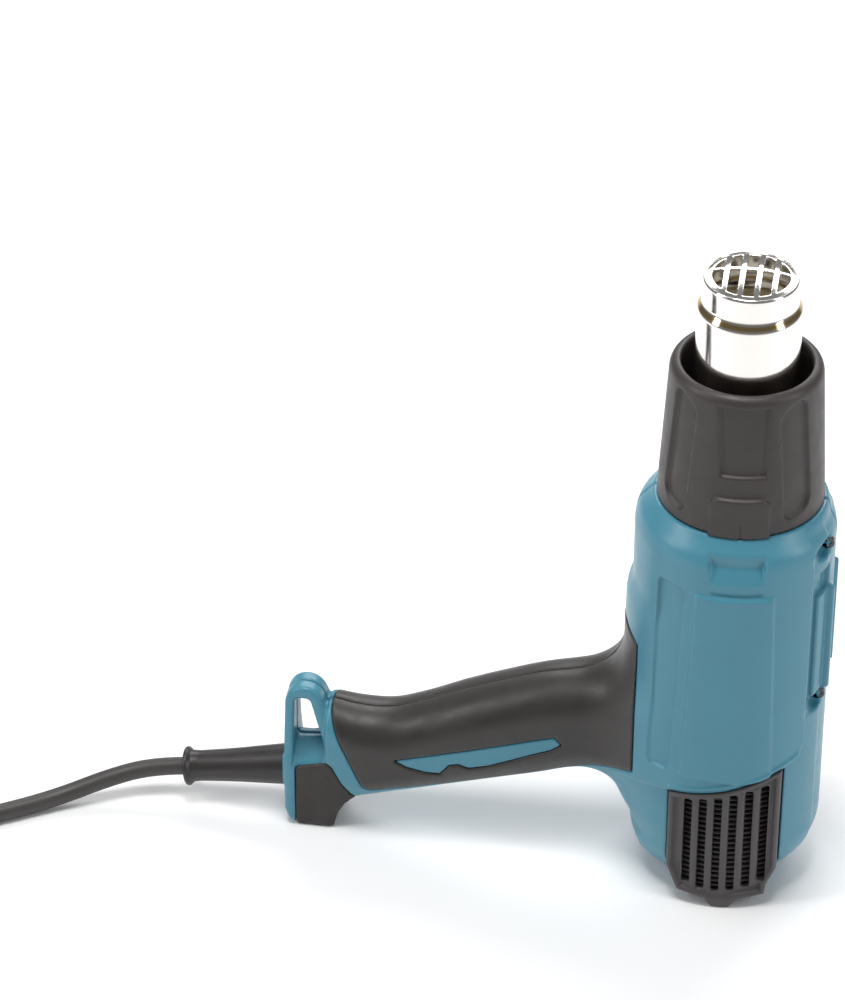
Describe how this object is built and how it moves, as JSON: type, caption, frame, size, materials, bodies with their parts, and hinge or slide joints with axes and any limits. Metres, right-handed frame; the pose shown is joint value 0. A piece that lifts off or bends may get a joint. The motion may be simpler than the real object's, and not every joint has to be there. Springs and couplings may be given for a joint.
{
  "type": "heat gun",
  "caption": "Mains hot-air gun standing on its rear: hollow two-shell body, soft grip, slip-off heat sleeve, steel outlet, intake grilles, slide switch, coiled cord and plug.",
  "frame": {"origin": "on the barrel axis, on the surface that the gun stands on (centre of the rear bumper's face)", "axes": "+Z along the barrel towards the outlet, -X along the handle, the shells meet on the plane y = 0, left shell is -Y"},
  "size_m": [0.4391, 0.1275, 0.259],
  "materials": {
    "shell": "satin moulded teal plastic",
    "grip": "soft-touch overmould",
    "dark_plastic": "fine-textured dark plastic",
    "sleeve": "heat-resistant plastic, fine texture",
    "rubber": "matte",
    "steel": "polished stainless steel",
    "inner_steel": "satin",
    "mica": "insulating board",
    "ceramic": "unglazed ceramic",
    "heater_wire": "oxidised resistance wire",
    "copper": "wound copper",
    "board": "circuit board",
    "component": "moulded parts",
    "cord": "smooth rubber sheath",
    "insulation": "wire insulation",
    "brass": "plated pins"
  },
  "bodies": {
    "gun": {"housing_left": "shell", "housing_right": "shell", "grip_cover_left": "grip", "grip_cover_right": "grip", "intake_grille_left": "dark_plastic", "intake_grille_right": "dark_plastic", "dust_screen_left": "component", "dust_screen_right": "component", "foot_pad_left": "grip", "foot_pad_right": "grip", "rear_bumper": "rubber", "switch_body": "component", "switch_terminals": "brass", "control_board": "board", "board_components": "component", "terminal_block": "ceramic", "motor_can": "inner_steel", "motor_end_cap": "dark_plastic", "motor_magnets": "component", "motor_brushes": "component", "motor_bearings": "brass", "fan_shroud": "dark_plastic", "outlet_tube": "steel", "outlet_grille": "steel", "heater_flange": "mica", "mica_sleeve": "mica", "heater_core": "ceramic", "heater_coils": "heater_wire", "thermal_cutout": "inner_steel", "strain_relief": "cord", "cord_tail": "cord", "cord_clamp": "dark_plastic", "clamp_screws": "inner_steel", "housing_screws": "inner_steel", "internal_leads": "insulation", "power_cord": "cord", "cord_coil": "cord", "cord_ties": "rubber", "plug_tail": "cord", "plug_body": "cord", "plug_pins": "brass"},
    "rotor": {"motor_shaft": "inner_steel", "armature": "copper", "commutator": "copper", "fan_impeller": "dark_plastic"},
    "sleeve": {"heat_sleeve": "sleeve"},
    "switch": {"switch_slider": "dark_plastic"}
  },
  "joints": [
    {"name": "sleeve_pull", "type": "slide", "parent": "gun", "child": "sleeve", "axis": [0, 0, 1], "range_m": [0, 0.104]},
    {"name": "rotor_spin", "type": "hinge", "parent": "gun", "child": "rotor", "pos_m": [0, 0, 0.06], "axis": [0, 0, 1], "continuous": true},
    {"name": "switch_slide", "type": "slide", "parent": "gun", "child": "switch", "axis": [0.9613, 0, 0.2756], "range_m": [0, 0.009]}
  ]
}
